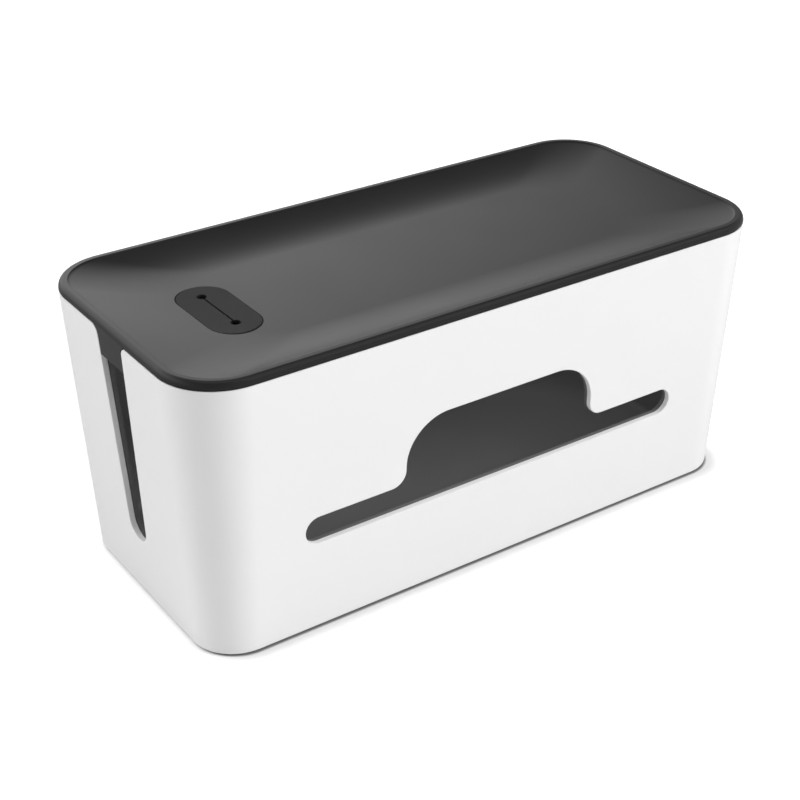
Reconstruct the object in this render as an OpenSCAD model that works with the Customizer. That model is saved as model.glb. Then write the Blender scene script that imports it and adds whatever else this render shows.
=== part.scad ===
// Desktop cable management box.
// A white outer shell with leaning walls holds a dark inner liner. One long
// face has a stepped cable opening, and each end has a tall slot that is open
// at the top. A dished lid lifts off: its tabs close the slot mouths and its
// rib drops inside the liner. A soft grommet in the lid lets thin cables out.
// X runs along the box, the stepped opening faces -Y, and the feet stand on z = 0.

/* [Body] */
// Length of the body at its top edge
body_len = 285; // [260:1:310]
// Width of the body at its top edge
body_w = 131.2; // [120:0.1:145]
// Height of the outer shell without its feet
shell_h = 122.4; // [112:0.1:135]
// Plan radius of the corners at the top edge
corner_r = 25.7; // [23:0.1:29]
// Distance that each wall leans in between the top edge and the underside
lean_in = 6.1; // [3:0.1:7]
// Thickness of the outer shell's walls
wall = 2.5; // [2:0.1:3]
// Thickness of the outer shell's floor
shell_floor = 2.5; // [2.2:0.1:3.5]
// Radius round the outer shell's underside
base_r = 0.8; // [0.4:0.1:1.5]
// Radius between the outer shell's floor and walls, inside
shell_fillet_r = 1.5; // [0.5:0.1:2]

/* [Liner] */
// Thickness of the liner's walls
liner_wall = 2; // [1.5:0.1:2.5]
// Thickness of the liner's floor
liner_floor = 2; // [1.5:0.1:3]
// Gap between the liner's walls and the outer shell
liner_gap = 0.3; // [0.2:0.05:0.5]
// Distance of the liner's top edge below the outer shell's
liner_drop = 1.5; // [1:0.1:3]
// Distance by which the liner's cut-outs stand back from the outer shell's
liner_setback = 0.4; // [0.2:0.1:0.8]
// Radius round the liner's underside
liner_base_r = 2; // [2:0.1:3]
// Radius between the liner's floor and walls, inside
liner_fillet_r = 3; // [1:0.1:6]
// Diameter of the liner's locating pegs
peg_d = 4; // [3:0.1:5]
// Clearance round each locating peg
peg_clear = 0.15; // [0.1:0.05:0.3]

/* [Stepped cable opening] */
// Length of the long low slot
slot_len = 190; // [170:1:205]
// Height of the long low slot
slot_h = 12.5; // [10:0.1:16]
// Height of the opening's bottom edge above the underside
slot_sill = 41.5; // [34:0.1:48]
// Width of the raised middle
hump_w = 95.5; // [80:0.1:110]
// Height of the raised middle above the opening's bottom edge
hump_h = 41.2; // [36:0.1:50]
// Radius of the raised middle's upper corners
hump_r = 20; // [10:0.1:22]
// Radius where the raised middle meets the low slot
step_fillet = 6.8; // [3:0.1:9]

/* [End slots] */
// Radius of an end slot's round bottom
end_slot_r = 7.3; // [6:0.1:9]
// Height of an end slot's lowest point above the underside
end_slot_sill = 27.7; // [22:0.1:36]
// Lean of each side of an end slot from upright, in degrees
end_slot_lean = 2.1; // [1:0.1:3]
// Radius of an end slot's mouth corners
mouth_r = 4; // [2:0.1:5]

/* [Lid] */
// Thickness of the lid
lid_wall = 2.5; // [2:0.1:3]
// Radius of the lid's rounded outer edge
rim_r = 3; // [2.5:0.1:4]
// Height of the rim below its rounded edge
rim_land = 0.6; // [0.5:0.1:1]
// Height of the shadow gap between the rim and the outer shell
shadow_gap_h = 0.5; // [0.3:0.1:0.8]
// Depth of the shadow gap
shadow_gap_w = 0.8; // [0.4:0.1:1.2]
// Width of the rim's crest inside its rounded edge
crest_w = 1; // [0.4:0.1:2]
// Small step from the crest down to the dish
lip_h = 0.4; // [0.2:0.1:0.8]
// Depth of the dish below the rim's crest
dish_depth = 5.8; // [4:0.1:7]
// Width of the dish's slope along the long sides
dish_side_w = 29; // [24:0.1:34]
// Width of the dish's slope at the ends
dish_end_w = 46; // [38:0.1:50]
// Corner radius of the flat bottom of the dish
dish_floor_r = 16; // [10:0.1:20]
// Depth of the locating rib below the seam
rib_depth = 6.4; // [5.8:0.1:8]
// Thickness of the locating rib
rib_w = 1.6; // [1.2:0.1:2]
// Gap between the locating rib and the liner
rib_clear = 0.4; // [0.3:0.05:0.6]
// Length of the end tabs below the seam
tab_drop = 12.1; // [10:0.1:15]
// Thickness of an end tab
tab_wall = 2.2; // [1.8:0.1:2.3]
// Gap between a tab and the sides of its slot
tab_clear = 0.3; // [0.3:0.05:0.5]
// Distance of a tab's outer face behind the outer shell's
tab_inset = 0.1; // [0.05:0.05:0.3]

/* [Grommet] */
// Distance of the grommet's centre from the left end of the lid
grommet_end = 47.7; // [46:0.1:57]
// Width of the grommet's visible face
grommet_w = 22.6; // [20:0.1:25]
// Length of the grommet's visible face
grommet_len = 47.4; // [44:0.1:52]
// Thickness of the seat that the grommet grips
grommet_seat_h = 1.5; // [1:0.1:1.8]
// Width of the lip that rests on that seat
grommet_lip_w = 2.2; // [1.5:0.1:3]
// Thickness of the lower lip
grommet_lower_lip_h = 1.4; // [1:0.1:2]
// Height of the grommet's face above the flat of the lid
grommet_proud = 0.3; // [0.1:0.1:0.8]
// Radius round the edge of the grommet's face
grommet_edge_r = 0.5; // [0.2:0.1:0.8]
// Gap between the grommet and the lid
grommet_gap = 0.15; // [0.1:0.05:0.3]
// Width of the flat pad that backs the grommet under the lid
grommet_pad_w = 2; // [1:0.1:3]
// Height of that pad below the lid's underside
grommet_pad_h = 0.3; // [0.2:0.1:0.6]
// Diameter of the two cable holes
cable_hole_d = 4; // [3:0.1:6]
// Distance between the two cable holes
cable_hole_pitch = 27.8; // [24:0.1:32]
// Width of the slit between the cable holes
slit_w = 0.6; // [0.4:0.1:1]

/* [Feet] */
// Diameter of a rubber foot
foot_d = 14; // [12:0.1:18]
// Height of a foot below the underside
foot_proud = 0.8; // [0.5:0.1:2]
// Depth of the recess that holds a foot
foot_recess = 1.2; // [1:0.1:1.5]
// Gap round a foot in its recess
foot_gap = 0.15; // [0.1:0.05:0.3]
// Radius round a foot's lower edge
foot_edge_r = 0.5; // [0.2:0.1:0.5]
// Width of the grip groove in a foot
foot_groove_w = 1; // [0.6:0.1:1.5]
// Depth of the grip groove in a foot
foot_groove_h = 0.4; // [0.2:0.1:0.5]

/* [Hidden] */
$fn = 96;
// How far a cut runs past the face that it opens
over = 1;
// Small overlap that makes curves cross where they would only touch
nudge = 0.002;

base_z = foot_proud;
seam_z = base_z + shell_h;
shell_floor_z = base_z + shell_floor;
liner_floor_z = shell_floor_z + liner_floor;
liner_top_z = seam_z - liner_drop;

// Centres of the plan corners, the same at every height
corner_x = body_len / 2 - corner_r;
corner_y = body_w / 2 - corner_r;

// Insets of the nested walls from the outer face
liner_outer = wall + liner_gap;
liner_inner = liner_outer + liner_wall;
rib_outer = liner_inner + rib_clear;
rib_inner = rib_outer + rib_w;

rim_h = rim_land + rim_r;
crest_inset = rim_r + crest_w;
dish_z = seam_z + rim_h - dish_depth;
lid_under_z = dish_z - lid_wall;
rim_under_z = seam_z + rim_h - lip_h - lid_wall;

slot_z = base_z + slot_sill;
slot_top_z = slot_z + slot_h;
hump_top_z = slot_z + hump_h;

end_slot_z = base_z + end_slot_sill + end_slot_r;
mouth_z = seam_z - mouth_r;
tab_z = seam_z - tab_drop;

pad_z = lid_under_z - grommet_pad_h;
seat_z = pad_z + grommet_seat_h;
grommet_top_z = dish_z + grommet_proud;
grommet_run = (grommet_len - grommet_w) / 2;
grommet_hole_r = grommet_w / 2 - grommet_lip_w;

// Rings and corner steps of the dish's slope
DISH_RINGS = 10;
CORNER_STEPS = 8;

// Plan radius of the outer corners at height z
function plan_r(z) = corner_r - lean_in * (seam_z - z) / shell_h;

// Half-width of an end slot at height z, grown all round by grow
function end_slot_half(z, grow) =
    (end_slot_r + grow) / cos(end_slot_lean) + (z - end_slot_z) * tan(end_slot_lean);

// Height of the dish's slope, t = 0 at its flat bottom and t = 1 at the rim
function slope_z(t) = dish_z + (dish_depth - lip_h) * t * t;

function mix(a, b, t) = a + (b - a) * t;

// A rounded rectangle, counter-clockwise, with half-sizes a and b
function rounded_ring(a, b, r, z) = [
    for (quarter = [0 : 3], step = [0 : CORNER_STEPS])
        let (
            angle = 90 * (quarter + step / CORNER_STEPS),
            sx = quarter == 0 || quarter == 3 ? 1 : -1,
            sy = quarter < 2 ? 1 : -1
        )
        [sx * (a - r) + r * cos(angle), sy * (b - r) + r * sin(angle), z]
];

// A level ring of the dish's slope, moved down by drop
function dish_ring(t, drop) = rounded_ring(
    mix(dish_end_w, 0, t) * -1 + body_len / 2 - crest_inset,
    mix(dish_side_w, 0, t) * -1 + body_w / 2 - crest_inset,
    mix(dish_floor_r, corner_r - crest_inset, t),
    slope_z(t) - drop
);

// A closed solid through rings of points that are listed from one end to the other
module ring_loft(rings, upward) {
    n = len(rings[0]);
    last = len(rings) - 1;
    sides = [
        for (i = [0 : last - 1], j = [0 : n - 1])
            let (k = (j + 1) % n)
            each [[i * n + j, (i + 1) * n + j, i * n + k], [i * n + k, (i + 1) * n + j, (i + 1) * n + k]]
    ];
    caps = [[for (j = [0 : n - 1]) j], [for (j = [n - 1 : -1 : 0]) last * n + j]];
    faces = concat(sides, caps);
    points = [for (ring = rings) each ring];
    polyhedron(points, upward ? faces : [for (face = faces) [for (i = [len(face) - 1 : -1 : 0]) face[i]]]);
}

module at_corners() {
    for (sx = [-1, 1], sy = [-1, 1])
        translate([sx * corner_x, sy * corner_y, 0]) children();
}

// Extrudes a Y-Z outline along X
module along_x(length) {
    rotate([90, 0, 90]) linear_extrude(length, center = true) children();
}

// Extrudes an X-Z outline along Y
module along_y(length) {
    rotate([90, 0, 0]) linear_extrude(length, center = true) children();
}

module both_sides() {
    children();
    mirror([1, 0]) children();
}

// A block with the body's rounded plan and leaning faces, inset from the outer face
module leaning_block(inset, z0, z1) {
    r0 = plan_r(z0) - inset;
    r1 = plan_r(z1) - inset;
    at_corners() translate([0, 0, z0]) cylinder(h = z1 - z0, r1 = r0, r2 = r1);
    along_x(2 * corner_x) both_sides() leaning_section(corner_y, r0, r1, z0, z1);
    along_y(2 * corner_y) both_sides() leaning_section(corner_x, r0, r1, z0, z1);
}

// Half of its section, from the middle out past a corner's centre, which lies at reach
module leaning_section(reach, r0, r1, z0, z1) {
    translate([reach, 0]) polygon([[-reach, z0], [r0, z0], [r1, z1], [-reach, z1]]);
}

// A leaning block whose lower edge is rounded to radius r
module moulded_block(inset, z0, z1, r) {
    at_corners() rotate_extrude() moulded_section(inset, z0, z1, r, 0);
    along_x(2 * corner_x) both_sides() moulded_section(inset, z0, z1, r, corner_y);
    along_y(2 * corner_y) both_sides() moulded_section(inset, z0, z1, r, corner_x);
}

// Half of such a block's section, from the middle out past a corner's centre, which lies at reach
module moulded_section(inset, z0, z1, r, reach) {
    slope = atan(lean_in / shell_h);
    r0 = plan_r(z0) - inset;
    r1 = plan_r(z1) - inset;
    centre = r0 + r * tan(slope) - r / cos(slope);
    touch = [centre + r * cos(slope) - nudge, z0 + r - r * sin(slope)];
    translate([reach, 0]) {
        translate([centre, z0 + r]) circle(r);
        polygon([[-reach, z0], [centre, z0], touch, [r1, z1], [-reach, z1]]);
    }
}

// The stepped opening in X and Z, grown all round by grow
module stepped_outline(grow) {
    slot_mid_z = slot_z + slot_h / 2;
    slot_half = slot_len / 2 - slot_h / 2;
    hump_half = hump_w / 2;
    translate([-slot_half, slot_z - grow]) square([2 * slot_half, slot_h + 2 * grow]);
    translate([-hump_half - grow, slot_mid_z]) square([hump_w + 2 * grow, hump_top_z - hump_r - slot_mid_z]);
    translate([-hump_half + hump_r, slot_mid_z]) square([hump_w - 2 * hump_r, hump_top_z + grow - slot_mid_z]);
    both_sides() {
        translate([slot_half, slot_mid_z]) circle(slot_h / 2 + grow);
        translate([hump_half - hump_r, hump_top_z - hump_r]) circle(hump_r + grow);
        difference() {
            translate([hump_half, slot_mid_z]) square([step_fillet, slot_top_z + step_fillet - slot_mid_z]);
            translate([hump_half + step_fillet, slot_top_z + step_fillet]) circle(step_fillet - grow);
        }
    }
}

// An end slot in Y and Z, open at the top with rounded mouth corners
module end_slot_outline(grow, top_z) {
    tangent_z = end_slot_z - (end_slot_r + grow) * sin(end_slot_lean);
    half0 = end_slot_half(tangent_z, grow) - nudge;
    half1 = end_slot_half(top_z, grow);
    mouth_y = end_slot_half(mouth_z, 0) + mouth_r / cos(end_slot_lean) - nudge;
    corner_cut_r = mouth_r - grow;
    touch_z = mouth_z + corner_cut_r * sin(end_slot_lean);
    translate([0, end_slot_z]) circle(end_slot_r + grow);
    polygon([[-half0, tangent_z], [half0, tangent_z], [half1, top_z], [-half1, top_z]]);
    both_sides() difference() {
        translate([0, touch_z]) square([mouth_y, top_z - touch_z]);
        translate([mouth_y, mouth_z + nudge]) circle(corner_cut_r);
    }
}

// A solid with a stadium plan: a half-section turned round both ends of a run along Y
module stadium_solid(run) {
    for (side = [-1, 1])
        translate([0, side * run, 0]) rotate_extrude() children();
    along_y(2 * run) both_sides() children();
}

module at_grommet(z) {
    translate([grommet_end - body_len / 2, 0, z]) children();
}

module outer_shell() {
    color("#f5f5f5") difference() {
        moulded_block(0, base_z, seam_z, base_r);
        moulded_block(wall, shell_floor_z, seam_z + over, shell_fillet_r);
        translate([0, -body_w / 2, 0]) along_y(body_w) stepped_outline(0);
        along_x(body_len + 2 * over) end_slot_outline(0, seam_z + over);
        at_corners() translate([0, 0, base_z - over]) cylinder(h = foot_recess + over, d = foot_d + 2 * foot_gap);
        at_corners() translate([0, 0, base_z]) cylinder(h = shell_floor + over, d = peg_d + 2 * peg_clear);
    }
}

module inner_liner() {
    peg_end_z = base_z + foot_recess;
    color("#4a4a4a") difference() {
        union() {
            moulded_block(liner_outer, shell_floor_z, liner_top_z, liner_base_r);
            at_corners() translate([0, 0, peg_end_z]) cylinder(h = liner_floor_z - peg_end_z, d = peg_d);
        }
        moulded_block(liner_inner, liner_floor_z, liner_top_z + over, liner_fillet_r);
        translate([0, -body_w / 2, 0]) along_y(body_w) stepped_outline(liner_setback);
        along_x(body_len) end_slot_outline(liner_setback, seam_z + over);
    }
}

module foot(sx, sy) {
    height = foot_proud + foot_recess;
    groove_r = foot_d / 4;
    color("#303030") translate([sx * corner_x, sy * corner_y, 0]) rotate_extrude() difference() {
        union() {
            translate([0, foot_edge_r]) square([foot_d / 2, height - foot_edge_r]);
            square([foot_d / 2 - foot_edge_r, height]);
            translate([foot_d / 2 - foot_edge_r, foot_edge_r]) circle(foot_edge_r);
        }
        translate([groove_r, -over]) square([foot_groove_w, foot_groove_h + over]);
    }
}

// Half-section of the rim from the middle of a corner or side out to reach
module rim_section(reach) {
    difference() {
        intersection() {
            union() {
                square([reach - rim_r, rim_h]);
                square([reach, rim_land]);
                translate([reach - rim_r, rim_land]) circle(rim_r);
            }
            square([reach, rim_h]);
        }
        translate([reach - shadow_gap_w, -over]) square([shadow_gap_w + over, shadow_gap_h + over]);
    }
}

module lid_blank() {
    translate([0, 0, seam_z]) {
        at_corners() rotate_extrude() rim_section(corner_r);
        along_x(2 * corner_x) both_sides() rim_section(corner_y + corner_r);
        along_y(2 * corner_y) both_sides() rim_section(corner_x + corner_r);
    }
}

// Solid above the dished surface, up past the rim
module dish_cut() {
    slope = [for (i = [0 : DISH_RINGS]) dish_ring(i / DISH_RINGS, 0)];
    rim = [for (p = dish_ring(1, 0)) [p.x, p.y, seam_z + rim_h + over]];
    ring_loft(concat(slope, [rim]), true);
}

// Solid below the lid's hollow underside, inside the locating rib
module underside_cut() {
    low_z = seam_z - rib_depth - over;
    slope = [for (i = [0 : DISH_RINGS]) dish_ring(i / DISH_RINGS, lid_wall)];
    foot_ring = [for (p = dish_ring(1, 0)) [p.x, p.y, low_z]];
    intersection() {
        ring_loft(concat(slope, [foot_ring]), false);
        leaning_block(rib_inner, low_z - over, seam_z + rim_h);
    }
}

module end_tabs() {
    intersection() {
        difference() {
            leaning_block(tab_inset, tab_z, seam_z + shadow_gap_h + nudge);
            leaning_block(tab_inset + tab_wall, tab_z - over, seam_z + over);
        }
        along_x(body_len + 2 * over) end_slot_outline(-tab_clear, seam_z + over);
    }
}

module lid() {
    pad_r = grommet_hole_r + grommet_lip_w + grommet_pad_w;
    color("#5c5c5c") difference() {
        union() {
            difference() {
                union() {
                    difference() {
                        lid_blank();
                        leaning_block(wall, seam_z - over, rim_under_z);
                    }
                    leaning_block(rib_outer, seam_z - rib_depth, rim_under_z + lip_h);
                }
                underside_cut();
            }
            end_tabs();
            at_grommet(pad_z) stadium_solid(grommet_run) square([pad_r, grommet_pad_h + lid_wall / 2]);
        }
        dish_cut();
        at_grommet(seat_z) stadium_solid(grommet_run) square([grommet_w / 2 + grommet_gap, dish_depth]);
        at_grommet(pad_z - over) stadium_solid(grommet_run) square([grommet_hole_r, grommet_seat_h + 2 * over]);
    }
}

module cable_grommet() {
    neck_r = grommet_hole_r - grommet_gap;
    lower_r = grommet_hole_r + grommet_lip_w / 2;
    low_z = pad_z - grommet_lower_lip_h;
    face_r = grommet_w / 2;
    color("#3c3c3c") difference() {
        at_grommet(0) stadium_solid(grommet_run) {
            translate([0, low_z]) polygon([
                [0, 0], [neck_r, 0], [lower_r, grommet_lower_lip_h / 2],
                [lower_r, grommet_lower_lip_h], [0, grommet_lower_lip_h]
            ]);
            translate([0, pad_z - grommet_lower_lip_h / 2])
                square([neck_r, grommet_seat_h + grommet_lower_lip_h]);
            translate([0, seat_z]) square([face_r, grommet_top_z - grommet_edge_r - seat_z]);
            translate([0, seat_z]) square([face_r - grommet_edge_r, grommet_top_z - seat_z]);
            translate([face_r - grommet_edge_r, grommet_top_z - grommet_edge_r]) circle(grommet_edge_r);
        }
        at_grommet(low_z - over) {
            for (side = [-1, 1])
                translate([0, side * cable_hole_pitch / 2, 0])
                    cylinder(h = grommet_top_z - low_z + 2 * over, d = cable_hole_d);
            translate([-slit_w / 2, -cable_hole_pitch / 2, 0])
                cube([slit_w, cable_hole_pitch, grommet_top_z - low_z + 2 * over]);
        }
    }
}

outer_shell();
inner_liner();
foot(-1, -1);  // foot_front_left
foot(1, -1);  // foot_front_right
foot(-1, 1);  // foot_rear_left
foot(1, 1);  // foot_rear_right
lid();
cable_grommet();
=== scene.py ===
"""Looks of the cable management box: fine meshes, materials, studio and camera over its CAD frame."""

import math

import bmesh
import bpy
from mathutils import Matrix, Vector
from mathutils.geometry import delaunay_2d_cdt


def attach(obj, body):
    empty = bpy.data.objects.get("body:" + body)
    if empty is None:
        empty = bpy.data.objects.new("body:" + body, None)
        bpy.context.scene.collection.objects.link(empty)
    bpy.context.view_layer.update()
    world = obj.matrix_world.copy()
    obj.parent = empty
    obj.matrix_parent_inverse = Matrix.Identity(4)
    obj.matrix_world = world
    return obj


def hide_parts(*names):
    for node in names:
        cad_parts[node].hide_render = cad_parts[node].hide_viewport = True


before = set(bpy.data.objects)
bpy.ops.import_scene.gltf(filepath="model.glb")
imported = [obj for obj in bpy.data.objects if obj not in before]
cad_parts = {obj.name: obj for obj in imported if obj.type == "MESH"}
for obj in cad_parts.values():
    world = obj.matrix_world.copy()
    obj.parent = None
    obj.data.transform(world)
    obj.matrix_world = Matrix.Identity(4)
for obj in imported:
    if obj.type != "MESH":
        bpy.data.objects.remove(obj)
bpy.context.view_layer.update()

MM = 0.001

# Body, in millimetres and the same as the CAD source's
BODY_LEN, BODY_W, SHELL_H = 285.0, 131.2, 122.4
CORNER_R, LEAN_IN = 25.7, 6.1
WALL, SHELL_FLOOR, BASE_R, SHELL_FILLET_R = 2.5, 2.5, 0.8, 1.5
LINER_WALL, LINER_FLOOR, LINER_BASE_R, LINER_FILLET_R = 2.0, 2.0, 2.0, 3.0
LINER_GAP, LINER_DROP, LINER_SETBACK = 0.3, 1.5, 0.4
FOOT_R, FOOT_PROUD, FOOT_RECESS, FOOT_GAP = 7.0, 0.8, 1.2, 0.15
FOOT_EDGE_R, FOOT_GROOVE_R, FOOT_GROOVE_W, FOOT_GROOVE_H = 0.5, 3.5, 1.0, 0.4

BASE_Z = FOOT_PROUD
SEAM_Z = BASE_Z + SHELL_H
LINER_OUTER = WALL + LINER_GAP
LINER_INNER = LINER_OUTER + LINER_WALL
CORNER_X, CORNER_Y = BODY_LEN / 2 - CORNER_R, BODY_W / 2 - CORNER_R
CORNERS = ((1, 1), (-1, 1), (-1, -1), (1, -1))  # their signs in X and Y, counter-clockwise

# Stepped opening in the front and slots in the ends, the same as the CAD source's
SLOT_LEN, SLOT_H, SLOT_SILL = 190.0, 12.5, 41.5
HUMP_W, HUMP_H, HUMP_R, STEP_FILLET = 95.5, 41.2, 20.0, 6.8
END_R, END_SILL, END_TILT, MOUTH_R = 7.3, 27.7, 2.1, 4.0

SLOT_Z = BASE_Z + SLOT_SILL
END_Z = BASE_Z + END_SILL + END_R
END_LEAN = math.radians(END_TILT)
MOUTH_Z = SEAM_Z - MOUTH_R

# Lid, the same as the CAD source's
RIM_R, RIM_LAND, CREST_W, LIP_H = 3.0, 0.6, 1.0, 0.4
LID_WALL, DISH_DEPTH = 2.5, 5.8
DISH_SIDE_W, DISH_END_W, DISH_FLOOR_R = 29.0, 46.0, 16.0
RIB_DEPTH, RIB_W, RIB_CLEAR = 6.4, 1.6, 0.4
TAB_DROP, TAB_WALL, TAB_CLEAR, TAB_INSET = 12.1, 2.2, 0.3, 0.1

CREST_Z = SEAM_Z + RIM_LAND + RIM_R
DISH_Z = CREST_Z - DISH_DEPTH
RIM_UNDER_Z = CREST_Z - LIP_H - LID_WALL
CREST_INSET = RIM_R + CREST_W
RIB_OUTER = LINER_INNER + RIB_CLEAR

# Grommet and its seat in the lid, the same as the CAD source's
GROMMET_END, GROMMET_W, GROMMET_LEN = 47.7, 22.6, 47.4
GROMMET_SEAT_H, GROMMET_LIP_W, GROMMET_LOWER_H, GROMMET_PROUD = 1.5, 2.2, 1.4, 0.3
GROMMET_EDGE_R, GROMMET_GAP, GROMMET_PAD_W, GROMMET_PAD_H = 0.5, 0.15, 2.0, 0.3
HOLE_R, HOLE_PITCH, SLIT_W = 2.0, 27.8, 0.6

GROMMET_X = GROMMET_END - BODY_LEN / 2
GROMMET_RUN = (GROMMET_LEN - GROMMET_W) / 2
GROMMET_TOP = DISH_Z + GROMMET_PROUD
SEAT_HOLE_R = GROMMET_W / 2 - GROMMET_LIP_W
PAD_R = SEAT_HOLE_R + GROMMET_LIP_W + GROMMET_PAD_W
PAD_Z = DISH_Z - LID_WALL - GROMMET_PAD_H
SEAT_Z = PAD_Z + GROMMET_SEAT_H

# Sizes of the scene alone: softened edges, and the rim's roll and shadow gap as the photograph shows them
SHELL_EDGE_R, LINER_EDGE_R, TAB_EDGE_R, RECESS_EDGE = 0.35, 0.3, 0.3, 0.1
SEAT_EDGE_R, HOLE_EDGE_R, LIP_EDGE_R, RIM_EDGE = 0.2, 0.25, 0.15, 0.02
RIM_ROLL_W, SHADOW_H, SHADOW_W = 2.2, 0.6, 0.4

CORNER_STEPS = 20


# ---------------------------------------------------------------- meshes


class Sheet:
    """Collects rings and flat panels in millimetres and turns them into one welded, smooth object."""

    def __init__(self):
        self.bm = bmesh.new()

    def strip(self, ring_a, ring_b, closed=True):
        """Joins two rows of as many points with a strip of faces."""
        a = [self.bm.verts.new(p) for p in ring_a]
        b = [self.bm.verts.new(p) for p in ring_b]
        last = len(a) if closed else len(a) - 1
        for i in range(last):
            k = (i + 1) % len(a)
            self.bm.faces.new((a[i], a[k], b[k], b[i]))

    def loft(self, rings):
        """Joins closed rings of as many points, each with the next."""
        for ring_a, ring_b in zip(rings, rings[1:]):
            self.strip(ring_a, ring_b)

    def panel(self, loops, place, guides=()):
        """Fills flat loops, the first one round the rest, and puts each flat point where place says.

        Guides are further loops that the mesh follows, which lie inside the first one.
        """
        points = [Vector(p) for loop in (*loops, *guides) for p in loop]
        edges, start = [], 0
        for loop in (*loops, *guides):
            n = len(loop)
            edges += [(start + i, start + (i + 1) % n) for i in range(n)]
            start += n
        verts, _, tris, *_ = delaunay_2d_cdt(points, edges, [], 0, 1e-7)
        made = [self.bm.verts.new(place(*p)) for p in verts]
        for tri in tris:
            mid = sum((verts[i] for i in tri), Vector((0, 0))) / 3
            if sum(inside(mid, loop) for loop in loops) % 2:
                self.bm.faces.new([made[i] for i in tri])

    def finish(self, name, slot, body, nodes, material):
        """Welds the mesh and makes it an object that rides a body and replaces CAD nodes."""
        bm = self.bm
        bmesh.ops.remove_doubles(bm, verts=bm.verts, dist=2e-4)
        bmesh.ops.dissolve_degenerate(bm, edges=bm.edges, dist=1e-5)
        bmesh.ops.recalc_face_normals(bm, faces=bm.faces)
        bmesh.ops.scale(bm, vec=(MM,) * 3, verts=bm.verts)
        mesh = bpy.data.meshes.new(name)
        bm.to_mesh(mesh)
        bm.free()
        mesh.shade_smooth()
        mesh.materials.append(material)
        obj = bpy.data.objects.new(name, mesh)
        bpy.context.scene.collection.objects.link(obj)
        even = obj.modifiers.new("Even normals", "WEIGHTED_NORMAL")
        even.mode = "FACE_AREA"
        even.weight = 90
        even.keep_sharp = False
        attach(obj, body)
        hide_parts(*nodes)


def inside(p, loop):
    """Is the flat point inside the loop?"""
    odd = False
    for (x0, y0), (x1, y1) in zip(loop, loop[1:] + loop[:1]):
        if (y0 > p[1]) != (y1 > p[1]) and p[0] < (x1 - x0) * (p[1] - y0) / (y1 - y0) + x0:
            odd = not odd
    return odd


def arc(cx, cy, r, start, end, steps):
    """Points along an arc, with angles in degrees."""
    return [
        (cx + r * math.cos(t), cy + r * math.sin(t))
        for t in (math.radians(start + (end - start) * i / steps) for i in range(steps + 1))
    ]


def rounding(r, steps=4):
    """Steps of a quarter round as pairs of distances, the first from r to 0 and the second from 0 to r."""
    return [
        (r * (1 - math.sin(t)), r * (1 - math.cos(t)))
        for t in (math.pi / 2 * i / steps for i in range(steps + 1))
    ]


def mix(a, b, t):
    """The value at t between a and b."""
    return a + (b - a) * t


def raised(loop, z):
    """A flat loop as a ring at height z."""
    return [(x, y, z) for x, y in loop]


def flat(ring):
    """A ring as a flat loop."""
    return [(x, y) for x, y, _ in ring]


def level(z):
    """Puts a flat point at height z."""
    return lambda x, y: (x, y, z)


def lean(z):
    """How far the walls have drawn in at height z."""
    return LEAN_IN * (SEAM_Z - z) / SHELL_H


def rounded_ring(a, b, r, z):
    """A level rounded rectangle with half-sizes a and b, counter-clockwise from +X."""
    loop = []
    for quarter, (sx, sy) in enumerate(CORNERS):
        loop += arc(sx * (a - r), sy * (b - r), r, 90 * quarter, 90 * quarter + 90, CORNER_STEPS)
    return raised(loop, z)


def body_ring(inset, z):
    """The body's outline at height z, inset from its outer face."""
    return plan_ring(lean(z) + inset, z)


def plan_ring(inset, z):
    """A ring inset from the body's outline at the seam."""
    return rounded_ring(BODY_LEN / 2 - inset, BODY_W / 2 - inset, CORNER_R - inset, z)


def corner_arc(sx, sy, inset, z):
    """One corner of the body's outline at height z, counter-clockwise, with both its ends."""
    start = 90 * CORNERS.index((sx, sy))
    r = CORNER_R - lean(z) - inset
    return raised(arc(sx * CORNER_X, sy * CORNER_Y, r, start, start + 90, CORNER_STEPS), z)


def disc(sx, sy, r):
    """A flat circle round the centre of one of the plan corners, without a doubled end."""
    return arc(sx * CORNER_X, sy * CORNER_Y, r, 0, 360, 48)[:-1]


def end_place(side, inset):
    """Puts a point in Y and Z on a leaning end wall."""
    return lambda y, z: (side * (BODY_LEN / 2 - lean(z) - inset), y, z)


def side_place(side, inset):
    """Puts a point in X and Z on a leaning long wall."""
    return lambda x, z: (x, side * (BODY_W / 2 - lean(z) - inset), z)


# ---------------------------------------------------------------- cut-outs


def stepped_loop(grow):
    """The stepped opening in X and Z, counter-clockwise, grown all round."""
    mid_z = SLOT_Z + SLOT_H / 2
    slot_x = SLOT_LEN / 2 - SLOT_H / 2
    top_z = SLOT_Z + SLOT_H
    hump_x = HUMP_W / 2
    fillet_x, fillet_z = hump_x + STEP_FILLET, top_z + STEP_FILLET
    right = arc(slot_x, mid_z, SLOT_H / 2 + grow, -90, 90, 24)
    right += arc(fillet_x, fillet_z, STEP_FILLET - grow, 270, 180, 12)
    right += arc(hump_x - HUMP_R, SLOT_Z + HUMP_H - HUMP_R, HUMP_R + grow, 0, 90, 20)
    return right + [(-x, z) for x, z in reversed(right)]


def end_half(z, grow):
    """Half the width of an end slot at height z, grown all round."""
    return (END_R + grow) / math.cos(END_LEAN) + (z - END_Z) * math.tan(END_LEAN)


def mouth_arc(grow, top_z, steps):
    """The rounded mouth of an end slot on its +Y side, in Y and Z, up to height top_z."""
    mouth_y = end_half(MOUTH_Z, 0) + MOUTH_R / math.cos(END_LEAN)
    r = MOUTH_R - grow
    top_angle = math.degrees(math.asin(min((top_z - MOUTH_Z) / r, 1)))
    return arc(mouth_y, MOUTH_Z, r, 180 - END_TILT, 180 - top_angle, steps)


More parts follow.
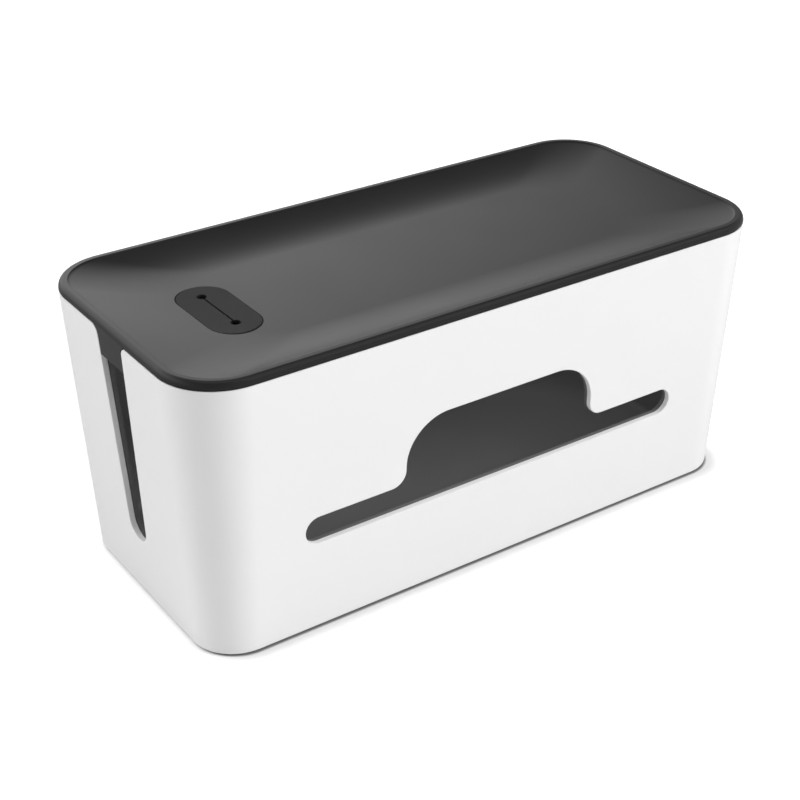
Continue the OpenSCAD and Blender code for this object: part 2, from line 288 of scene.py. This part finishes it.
def mouth_path(grow, top_z):
    """The top edge of an end wall from -Y to +Y, down round its slot and up again, in Y and Z."""
    top_z -= grow
    half = arc(0, END_Z, END_R + grow, -90, -END_TILT, 24) + mouth_arc(grow, top_z, 12)
    left = [(-y, z) for y, z in reversed(half)]
    return [(-CORNER_Y, top_z), *left, *half[1:], (CORNER_Y, top_z)]


def top_ring(grow, inset, top_z):
    """The tray's whole top edge, counter-clockwise from +X, down and up round both end slots."""
    z = top_z - grow
    right = [end_place(1, inset)(*p) for p in mouth_path(grow, top_z)]
    left = [end_place(-1, inset)(*p) for p in reversed(mouth_path(grow, top_z))]
    return (
        right[:-1]
        + corner_arc(1, 1, inset, z)
        + corner_arc(-1, 1, inset, z)
        + left[1:-1]
        + corner_arc(-1, -1, inset, z)
        + corner_arc(1, -1, inset, z)[:-1]
    )


# ---------------------------------------------------------------- outer shell and liner


def skin(sheet, inset, low_z, top_z, setback, edge):
    """One face of a tray's walls, between a level foot and the edges of its cut-outs."""
    for side in (1, -1):
        foot = [(-CORNER_Y, low_z), (CORNER_Y, low_z)]
        mouth = list(reversed(mouth_path(setback + edge, top_z + setback)))
        sheet.panel([foot + mouth], end_place(side, inset))
        high_z = top_z - edge
        wall = [(-CORNER_X, low_z), (CORNER_X, low_z), (CORNER_X, high_z), (-CORNER_X, high_z)]
        holes = [stepped_loop(setback + edge)] if side < 0 else []
        sheet.panel([wall, *holes], side_place(side, inset))
        for sx in (1, -1):
            low, high = corner_arc(sx, side, inset, low_z), corner_arc(sx, side, inset, high_z)
            sheet.strip(low, high, closed=False)


def tray(outer, inner, base_z, base_r, floor_z, fillet_r, top_z, setback, edge, recess_r=0.0):
    """A leaning tray with both its skins, its rounded underside, its floor and its rounded cut-outs.

    Outer and inner are its skins' insets from the body's outer face, and setback is how far its
    cut-outs stand back. With a recess_r, it has a recess for a rubber foot under each corner.
    """
    sheet = Sheet()
    skin(sheet, outer, base_z + base_r, top_z, setback, edge)
    skin(sheet, inner, floor_z + fillet_r, top_z, setback, edge)

    # edges of the cut-outs, round over the outer face, through the wall and round over the inner one
    over_edge = rounding(edge)
    across = [(grow, outer + inset) for grow, inset in over_edge]
    across += [(grow, inner - inset) for grow, inset in reversed(over_edge)]
    sheet.loft([top_ring(setback + grow, inset, top_z + setback) for grow, inset in across])
    opening = [[side_place(-1, inset)(*p) for p in stepped_loop(setback + grow)] for grow, inset in across]
    sheet.loft(opening)

    # rounded underside with its recesses
    under = [body_ring(outer + inset, base_z + up) for inset, up in rounding(base_r)]
    sheet.loft(under)
    mouths = []
    if recess_r:
        roof_z = base_z + FOOT_RECESS
        for sx, sy in CORNERS:
            mouth, wall = disc(sx, sy, recess_r + RECESS_EDGE), disc(sx, sy, recess_r)
            sheet.loft([raised(mouth, base_z), raised(wall, base_z + RECESS_EDGE), raised(wall, roof_z)])
            sheet.panel([wall], level(roof_z))
            mouths.append(mouth)
    sheet.panel([flat(under[0]), *mouths], level(base_z))

    # floor with its fillet
    fillet = [body_ring(inner + inset, floor_z + up) for up, inset in rounding(fillet_r, 6)]
    sheet.loft(fillet)
    sheet.panel([flat(fillet[-1])], level(floor_z))
    return sheet


def make_shell(material):
    shell = tray(
        outer=0, inner=WALL, base_z=BASE_Z, base_r=BASE_R, floor_z=BASE_Z + SHELL_FLOOR,
        fillet_r=SHELL_FILLET_R, top_z=SEAM_Z, setback=0, edge=SHELL_EDGE_R, recess_r=FOOT_R + FOOT_GAP,
    )
    shell.finish("outer_shell_moulding", "shell_plastic", "box", ["outer_shell"], material)


def make_liner(material):
    base_z = BASE_Z + SHELL_FLOOR
    liner = tray(
        outer=LINER_OUTER, inner=LINER_INNER, base_z=base_z, base_r=LINER_BASE_R,
        floor_z=base_z + LINER_FLOOR, fillet_r=LINER_FILLET_R, top_z=SEAM_Z - LINER_DROP,
        setback=LINER_SETBACK, edge=LINER_EDGE_R,
    )
    liner.finish("inner_liner_moulding", "liner_plastic", "box", ["inner_liner"], material)


# ---------------------------------------------------------------- lid


def dish_plan(t):
    """Half-length, half-width and corner radius of the dish's slope, from 0 at its flat to 1 at the rim."""
    a = BODY_LEN / 2 - CREST_INSET - mix(DISH_END_W, 0, t)
    b = BODY_W / 2 - CREST_INSET - mix(DISH_SIDE_W, 0, t)
    return a, b, mix(DISH_FLOOR_R, CORNER_R - CREST_INSET, t)


def dish_height(t):
    """Height of the dish's slope, a parabola."""
    return DISH_Z + (DISH_DEPTH - LIP_H) * t * t


def dish_ring(t, drop=0.0):
    """A level ring of the dish's slope, or below it by drop."""
    return rounded_ring(*dish_plan(t), dish_height(t) - drop)


def on_dish(drop=0.0):
    """Puts a flat point on the dished surface, or below it by drop."""

    def place(x, y):
        low, high = 0.0, 1.0
        for _ in range(30):
            t = (low + high) / 2
            a, b, r = dish_plan(t)
            if math.hypot(max(abs(x) - a + r, 0), max(abs(y) - b + r, 0)) > r:
                low = t
            else:
                high = t
        return x, y, dish_height(high) - drop

    return place


def stadium(r):
    """A flat stadium round the grommet's place, counter-clockwise."""
    return arc(GROMMET_X, GROMMET_RUN, r, 0, 180, 24) + arc(GROMMET_X, -GROMMET_RUN, r, 180, 360, 24)


def rim_rings():
    """From the top of the dish over the crest, down the rim's roll and in to its shadow gap."""
    rings = [plan_ring(CREST_INSET - out, CREST_Z - down) for down, out in rounding(LIP_EDGE_R)]
    # the roll is narrower than it is high, so that the flat crest shows as wide as in the photograph
    rings += [plan_ring(RIM_ROLL_W * inset, CREST_Z - RIM_R * down) for inset, down in rounding(1, 12)]
    shadow_z = SEAM_Z + SHADOW_H
    # a hook of a few hundredths of a millimetre at the roll's lower edge
    rings += [plan_ring(RIM_EDGE, shadow_z + RIM_EDGE), plan_ring(3 * RIM_EDGE, shadow_z)]
    return rings + [plan_ring(SHADOW_W, shadow_z), plan_ring(SHADOW_W, SEAM_Z)]


def rib_rings():
    """From the rim's inner edge on the seam up into the recess behind it, and round the locating rib."""
    rib_z = SEAM_Z - RIB_DEPTH
    return [
        plan_ring(WALL, SEAM_Z),
        plan_ring(WALL, RIM_UNDER_Z),
        plan_ring(RIB_OUTER, RIM_UNDER_Z),
        body_ring(RIB_OUTER, rib_z),
        body_ring(RIB_OUTER + RIB_W, rib_z),
        plan_ring(RIB_OUTER + RIB_W, SEAM_Z),
    ]


def seat_rings():
    """From the dished top down the grommet's recess, through the lid and out to the pad's edge below."""
    top, below = on_dish(), on_dish(LID_WALL)
    seat_r = GROMMET_W / 2 + GROMMET_GAP
    rings = []
    for down, grow in reversed(rounding(SEAT_EDGE_R)):
        edge = [top(x, y) for x, y in stadium(seat_r + grow)]
        rings.append([(x, y, z - down) for x, y, z in edge])
    steps = (seat_r, SEAT_Z), (SEAT_HOLE_R, SEAT_Z), (SEAT_HOLE_R, PAD_Z), (PAD_R, PAD_Z)
    rings += [raised(stadium(r), z) for r, z in steps]
    rings.append([below(x, y) for x, y in stadium(PAD_R)])
    return rings


def add_tab(sheet, side):
    """The tongue below the rim that closes the mouth of an end slot."""
    low_z, high_z = SEAM_Z - TAB_DROP, SEAM_Z + SHADOW_H

    def outline(shrink):
        grow = -TAB_CLEAR - shrink
        right = [(end_half(low_z, grow), low_z + shrink), *mouth_arc(grow, SEAM_Z, 10)]
        right += [(right[-1][0], high_z)]
        return right + [(-y, z) for y, z in reversed(right)]

    outer, inner = TAB_INSET, TAB_INSET + TAB_WALL
    across = [(shrink, outer + inset) for shrink, inset in rounding(TAB_EDGE_R)]
    across.append((0, inner))
    sheet.loft([[end_place(side, inset)(*p) for p in outline(shrink)] for shrink, inset in across])
    sheet.panel([outline(TAB_EDGE_R)], end_place(side, outer))
    sheet.panel([outline(0)], end_place(side, inner))


def make_lid(material):
    sheet = Sheet()
    slope = [dish_ring(i / 40) for i in range(41)]
    # the underside's slope ends at the locating rib
    under = [dish_ring(i / 20, LID_WALL) for i in range(18)]
    # the grommet's seat cuts into the foot of the slope, so the rings inside these are part of the fills
    inner, inner_under = 18, 9
    sheet.loft([*slope[inner:], *rim_rings(), *rib_rings(), *reversed(under[inner_under:])])
    seat = seat_rings()
    sheet.loft(seat)
    top_loops, below_loops = [flat(slope[inner]), flat(seat[0])], [flat(under[inner_under]), flat(seat[-1])]
    sheet.panel(top_loops, on_dish(), [flat(ring) for ring in slope[:inner]])
    sheet.panel(below_loops, on_dish(LID_WALL), [flat(ring) for ring in under[:inner_under]])
    for side in (1, -1):
        add_tab(sheet, side)
    sheet.finish("lid_moulding", "lid_plastic", "lid", ["lid"], material)


# ---------------------------------------------------------------- grommet and feet


def slit_loop(grow):
    """The two cable holes joined by their slit, counter-clockwise."""
    r, half = HOLE_R + grow, SLIT_W / 2 + grow
    gap = math.degrees(math.asin(half / r))
    far = HOLE_PITCH / 2
    loop = arc(GROMMET_X, far, r, -90 + gap, 270 - gap, 32)
    return loop + arc(GROMMET_X, -far, r, 90 + gap, 450 - gap, 32)


def make_grommet(material):
    """A soft grommet whose neck sits in the lid's seat, between its face and its lower lip."""
    sheet = Sheet()
    face_r, neck_r = GROMMET_W / 2, SEAT_HOLE_R - GROMMET_GAP
    lower_r, low_z = SEAT_HOLE_R + GROMMET_LIP_W / 2, PAD_Z - GROMMET_LOWER_H
    profile = [(face_r - inset, GROMMET_TOP - down) for inset, down in rounding(GROMMET_EDGE_R, 6)]
    profile += [(face_r, SEAT_Z), (neck_r, SEAT_Z), (neck_r, PAD_Z)]
    profile += [(lower_r, PAD_Z), (lower_r, PAD_Z - GROMMET_LOWER_H / 2), (neck_r, low_z)]
    sheet.loft([raised(stadium(r), z) for r, z in profile])
    holes = [raised(slit_loop(grow), GROMMET_TOP - down) for grow, down in rounding(HOLE_EDGE_R)]
    holes.append(raised(slit_loop(0), low_z))
    sheet.loft(holes)
    sheet.panel([stadium(face_r - GROMMET_EDGE_R), slit_loop(HOLE_EDGE_R)], level(GROMMET_TOP))
    sheet.panel([stadium(neck_r), slit_loop(0)], level(low_z))
    sheet.finish("grommet_moulding", "grommet_silicone", "lid", ["cable_grommet"], material)


def make_foot(name, sx, sy, material):
    """A turned rubber foot with its grip groove."""
    sheet = Sheet()
    hub_r, top_z = 0.4, BASE_Z + FOOT_RECESS
    groove_end = FOOT_GROOVE_R + FOOT_GROOVE_W
    groove = [
        (FOOT_GROOVE_R, 0), (FOOT_GROOVE_R, FOOT_GROOVE_H), (groove_end, FOOT_GROOVE_H), (groove_end, 0),
    ]
    edge = [(FOOT_R - inset, z) for z, inset in reversed(rounding(FOOT_EDGE_R, 6))]
    profile = [(hub_r, 0), *groove, *edge, (FOOT_R, top_z), (hub_r, top_z)]
    sheet.loft([raised(disc(sx, sy, r), z) for r, z in profile])
    for z in (0, top_z):
        sheet.panel([disc(sx, sy, hub_r)], level(z))
    sheet.finish(name + "_rubber", "foot_rubber", "box", [name], material)


# ---------------------------------------------------------------- materials


def plastic(name, colour, roughness, grain_size, grain_depth, tint=0.03, specular=0.5):
    """A moulded plastic: fine surface grain, sized in mm, and a slight drift in colour and gloss."""
    material = bpy.data.materials.new(name)
    material.use_nodes = True
    tree = material.node_tree
    nodes, links = tree.nodes, tree.links
    shader = nodes["Principled BSDF"]
    shader.inputs["Metallic"].default_value = 0.0
    shader.inputs["IOR"].default_value = 1.5
    shader.inputs["Specular IOR Level"].default_value = specular
    place = nodes.new("ShaderNodeTexCoord")

    drift = nodes.new("ShaderNodeTexNoise")
    drift.inputs["Scale"].default_value = 30.0
    drift.inputs["Detail"].default_value = 3.0
    links.new(place.outputs["Object"], drift.inputs["Vector"])

    ramp = nodes.new("ShaderNodeValToRGB")
    low = [c * (1 - tint) for c in colour]
    high = [min(c * (1 + tint), 1.0) for c in colour]
    ramp.color_ramp.elements[0].position = 0.3
    ramp.color_ramp.elements[0].color = (*low, 1)
    ramp.color_ramp.elements[1].position = 0.7
    ramp.color_ramp.elements[1].color = (*high, 1)
    links.new(drift.outputs["Fac"], ramp.inputs["Fac"])
    links.new(ramp.outputs["Color"], shader.inputs["Base Color"])

    gloss = nodes.new("ShaderNodeMapRange")
    gloss.inputs["From Min"].default_value = 0.3
    gloss.inputs["From Max"].default_value = 0.7
    gloss.inputs["To Min"].default_value = roughness * 0.95
    gloss.inputs["To Max"].default_value = roughness * 1.05
    links.new(drift.outputs["Fac"], gloss.inputs["Value"])
    links.new(gloss.outputs["Result"], shader.inputs["Roughness"])

    grain = nodes.new("ShaderNodeTexNoise")
    grain.inputs["Scale"].default_value = 1.0 / (grain_size * MM)
    grain.inputs["Detail"].default_value = 2.0
    links.new(place.outputs["Object"], grain.inputs["Vector"])
    bump = nodes.new("ShaderNodeBump")
    bump.inputs["Strength"].default_value = 1.0
    bump.inputs["Distance"].default_value = grain_depth * MM
    links.new(grain.outputs["Fac"], bump.inputs["Height"])
    links.new(bump.outputs["Normal"], shader.inputs["Normal"])
    return material


white = plastic(
    "White gloss ABS", (0.86, 0.86, 0.86),
    roughness=0.3, grain_size=0.8, grain_depth=0.002, tint=0.004,
)
dark_liner = plastic(
    "Dark matt liner", (0.14, 0.14, 0.142),
    roughness=0.6, grain_size=0.5, grain_depth=0.012,
)
dark_lid = plastic(
    "Dark satin lid", (0.019, 0.019, 0.0195),
    roughness=0.3, grain_size=0.5, grain_depth=0.004, specular=0.25,
)
silicone = plastic(
    "Dark silicone", (0.017, 0.017, 0.018),
    roughness=0.6, grain_size=0.4, grain_depth=0.006, specular=0.22,
)
rubber = plastic(
    "Black rubber", (0.022, 0.022, 0.022),
    roughness=0.8, grain_size=0.4, grain_depth=0.01,
)

make_shell(white)
make_liner(dark_liner)
make_lid(dark_lid)
make_grommet(silicone)
for y_side, row in ((-1, "front"), (1, "rear")):
    for x_side, end in ((-1, "left"), (1, "right")):
        make_foot(f"foot_{row}_{end}", x_side, y_side, rubber)


# ---------------------------------------------------------------- floor


def colour_out(mixer):
    """The colour that a mixer gives."""
    return [n for n in mixer.outputs if n.type == "RGBA"][0]


def blend(tree, kind, *colours):
    """A colour mixer of one kind, from links or plain colours."""
    mixer = tree.nodes.new("ShaderNodeMix")
    mixer.data_type = "RGBA"
    mixer.blend_type = kind
    mixer.inputs["Factor"].default_value = 1.0
    for colour, socket in zip(colours, [n for n in mixer.inputs if n.type == "RGBA"]):
        if isinstance(colour, tuple):
            socket.default_value = colour
        else:
            tree.links.new(colour, socket)
    return mixer


def near_box(tree, shift, start, end, low, high):
    """A value that goes from low to high between two distances in mm from the body's underside.

    The outline that it measures from is moved to the front right by shift.
    """
    place = tree.nodes.new("ShaderNodeTexCoord")
    gap = place.outputs["Object"]
    for operation, values in (
        ("SUBTRACT", (shift * MM, -shift * MM, 0)),
        ("ABSOLUTE", None),
        ("SUBTRACT", (CORNER_X * MM, CORNER_Y * MM, 1)),
        ("MAXIMUM", (0, 0, 0)),
        ("LENGTH", None),
    ):
        step = tree.nodes.new("ShaderNodeVectorMath")
        step.operation = operation
        tree.links.new(gap, step.inputs[0])
        if values:
            step.inputs[1].default_value = values
        gap = step.outputs["Value" if operation == "LENGTH" else "Vector"]
    away = tree.nodes.new("ShaderNodeMapRange")
    away.interpolation_type = "SMOOTHSTEP"
    away.inputs["From Min"].default_value = (CORNER_R - LEAN_IN + start) * MM
    away.inputs["From Max"].default_value = (CORNER_R - LEAN_IN + end) * MM
    away.inputs["To Min"].default_value = low
    away.inputs["To Max"].default_value = high
    tree.links.new(gap, away.inputs["Value"])
    return away.outputs["Result"]


def calculate(tree, operation, a, b):
    """One sum or product of two linked values."""
    node = tree.nodes.new("ShaderNodeMath")
    node.operation = operation
    tree.links.new(a, node.inputs[0])
    tree.links.new(b, node.inputs[1])
    return node.outputs["Value"]


def floor_material():
    """A matt near-white floor with a thin painted contact shadow round the front and right of the base, and
    a painted soft shadow beside it.
    """
    material = bpy.data.materials.new("Studio floor")
    material.use_nodes = True
    tree = material.node_tree
    shader = tree.nodes["Principled BSDF"]
    shader.inputs["Roughness"].default_value = 0.9
    shader.inputs["Specular IOR Level"].default_value = 0.0
    noise = tree.nodes.new("ShaderNodeTexNoise")
    noise.inputs["Scale"].default_value = 2.0
    ramp = tree.nodes.new("ShaderNodeValToRGB")
    ramp.color_ramp.elements[0].color = (0.93, 0.93, 0.93, 1)
    ramp.color_ramp.elements[1].color = (0.94, 0.94, 0.94, 1)
    tree.links.new(noise.outputs["Fac"], ramp.inputs["Fac"])

    # painted contact shadow: the floor's colour darkened under and just round the base, shifted to the
    # front right; and reflections that show the floor dimmer than the camera does
    painted_contact_shadow = near_box(tree, shift=0.6, start=-1.0, end=0.5, low=0.28, high=1.0)
    floor_with_painted_shadow = colour_out(blend(tree, "MULTIPLY", ramp.outputs["Color"], painted_contact_shadow))
    path = tree.nodes.new("ShaderNodeLightPath")
    dim = blend(tree, "MULTIPLY", floor_with_painted_shadow, (0.5, 0.5, 0.5, 1))
    tree.links.new(path.outputs["Is Glossy Ray"], dim.inputs["Factor"])
    tree.links.new(colour_out(dim), shader.inputs["Base Color"])

    # the camera sees the open floor a little brighter, so that it meets the white background; near the
    # base, shifted to the front right, this glow fades away and leaves a painted soft shadow
    lift_round_painted_shadow = near_box(tree, shift=3.0, start=-2.0, end=5.5, low=0.0, high=0.35)
    far_off = near_box(tree, shift=0.0, start=150, end=1200, low=0.0, high=0.65)
    both = calculate(tree, "ADD", lift_round_painted_shadow, far_off)
    lift = calculate(tree, "MULTIPLY", path.outputs["Is Camera Ray"], both)
    tree.links.new(lift, shader.inputs["Emission Strength"])
    shader.inputs["Emission Color"].default_value = (1, 1, 1, 1)
    return material


def make_floor():
    bm = bmesh.new()
    bmesh.ops.create_grid(bm, x_segments=8, y_segments=8, size=6.0)
    mesh = bpy.data.meshes.new("studio_floor")
    bm.to_mesh(mesh)
    bm.free()
    mesh.materials.append(floor_material())
    floor = bpy.data.objects.new("studio_floor", mesh)
    bpy.context.scene.collection.objects.link(floor)


# ---------------------------------------------------------------- world, lamps and camera


def ramp_node(tree, stops):
    """A grey colour ramp through (position, level) stops."""
    ramp = tree.nodes.new("ShaderNodeValToRGB")
    elements = ramp.color_ramp.elements
    while len(elements) < len(stops):
        elements.new(0.5)
    for element, (position, grey) in zip(elements, stops):
        element.position = position
        element.color = (grey, grey, grey, 1)
    return ramp


def make_world():
    """A soft studio: a bright card low behind the box, dark overhead, white where the camera sees it."""
    world = bpy.data.worlds.new("Studio")
    bpy.context.scene.world = world
    world.use_nodes = True
    tree = world.node_tree
    nodes, links = tree.nodes, tree.links
    background = nodes["Background"]
    place = nodes.new("ShaderNodeTexCoord")
    split = nodes.new("ShaderNodeSeparateXYZ")
    links.new(place.outputs["Generated"], split.inputs["Vector"])

    # bearing round the box from its back, positive to the right
    bearing = calculate(tree, "ARCTAN2", split.outputs["X"], split.outputs["Y"])
    turn = nodes.new("ShaderNodeMapRange")
    turn.inputs["From Min"].default_value = -math.pi
    turn.inputs["From Max"].default_value = math.pi
    links.new(bearing, turn.inputs["Value"])

    def card(heights, bearings):
        """A soft card of light by the sine of its elevation and by its bearing in degrees."""
        tall = ramp_node(tree, heights)
        wide = ramp_node(tree, [((degrees + 180) / 360, grey) for degrees, grey in bearings])
        links.new(split.outputs["Z"], tall.inputs["Fac"])
        links.new(turn.outputs["Result"], wide.inputs["Fac"])
        return colour_out(blend(tree, "MULTIPLY", tall.outputs["Color"], wide.outputs["Color"]))

    low_card = card(
        heights=[
            (0.0, 1.05), (0.07, 1.2), (0.24, 1.42), (0.40, 2.0),
            (0.49, 1.9), (0.60, 0.7), (0.75, 0.12), (1.0, 0.08),
        ],
        bearings=[
            (-180, 0.2), (-150, 0.1), (-125, 0.15), (-100, 0.45), (-60, 1.0),
            (28, 1.0), (44, 0.3), (60, 0.2), (120, 0.3), (180, 0.2),
        ],
    )
    high_card = card(
        heights=[(0.45, 0.0), (0.55, 1.0), (0.72, 1.1), (0.85, 0.0)],
        bearings=[(-90, 0.0), (-60, 1.0), (8, 1.0), (24, 0.0)],
    )
    top_card = card(
        heights=[(0.88, 0.0), (0.95, 0.6), (1.0, 0.8)],
        bearings=[(-180, 1.0), (180, 1.0)],
    )
    front_card = card(
        heights=[(0.42, 0.0), (0.58, 0.8), (0.88, 0.8), (0.97, 0.0)],
        bearings=[(-180, 0.3), (-170, 0.0), (95, 0.0), (118, 1.0), (155, 1.0), (180, 0.3)],
    )
    cards = low_card
    for more in (high_card, top_card, front_card):
        cards = colour_out(blend(tree, "ADD", cards, more))
    path = nodes.new("ShaderNodeLightPath")
    seen = blend(tree, "MIX", cards, (1, 1, 1, 1))
    links.new(path.outputs["Is Camera Ray"], seen.inputs["Factor"])
    links.new(colour_out(seen), background.inputs["Color"])
    background.inputs["Strength"].default_value = 1.0


def area_light(name, place, aim, size, power):
    """A rectangular lamp at place in metres, turned to aim, that shows in no picture and no reflection."""
    data = bpy.data.lights.new(name, "AREA")
    data.shape = "RECTANGLE"
    data.size, data.size_y = size
    data.energy = power
    lamp = bpy.data.objects.new(name, data)
    bpy.context.scene.collection.objects.link(lamp)
    lamp.location = place
    lamp.rotation_euler = (Vector(aim) - Vector(place)).to_track_quat("-Z", "Y").to_euler()
    lamp.visible_camera = lamp.visible_glossy = False


def make_camera(azimuth, elevation, roll, target, distance, focal_pixels, photo_pixels):
    """The photograph's camera, fitted to the box's edges, with angles in degrees and lengths in mm."""
    azimuth, elevation, roll = map(math.radians, (azimuth, elevation, roll))
    level_share = math.cos(elevation)
    back = Vector((math.sin(azimuth) * level_share, -math.cos(azimuth) * level_share, math.sin(elevation)))
    right = (-back).cross(Vector((0, 0, 1))).normalized()
    up = right.cross(-back).normalized()
    right, up = (
        right * math.cos(roll) + up * math.sin(roll),
        up * math.cos(roll) - right * math.sin(roll),
    )
    data = bpy.data.cameras.new("Photo camera")
    data.sensor_width = 36.0
    data.lens = focal_pixels / photo_pixels * data.sensor_width
    data.clip_start, data.clip_end = 0.01, 50
    camera = bpy.data.objects.new("Photo camera", data)
    bpy.context.scene.collection.objects.link(camera)
    camera.rotation_mode = "QUATERNION"
    axes = Matrix((right, up, back)).transposed()
    camera.rotation_quaternion = axes.to_quaternion()
    camera.location = Vector(target) * MM + back * distance * MM
    bpy.context.scene.camera = camera


make_floor()
make_world()
box_middle = (0, 0, 0.06)
area_light("Front right", place=(1.82, -2.17, 1.32), aim=box_middle, size=(1.4, 1.2), power=58)
area_light("Rear left", place=(-1.40, 0.90, 0.40), aim=box_middle, size=(1.0, 0.8), power=4.8)
area_light("Top", place=(0.0, -0.2, 2.2), aim=box_middle, size=(1.4, 1.4), power=4)
area_light("Inside", place=(0.01, -0.005, 0.108), aim=(0.01, -0.005, 0), size=(0.24, 0.09), power=0.075)
make_camera(
    azimuth=-34.337, elevation=29.341, roll=-0.252, target=(-8.204, 0, 52.395), distance=705.94,
    focal_pixels=1595.17, photo_pixels=800,
)
bpy.context.scene.view_settings.view_transform = "Standard"
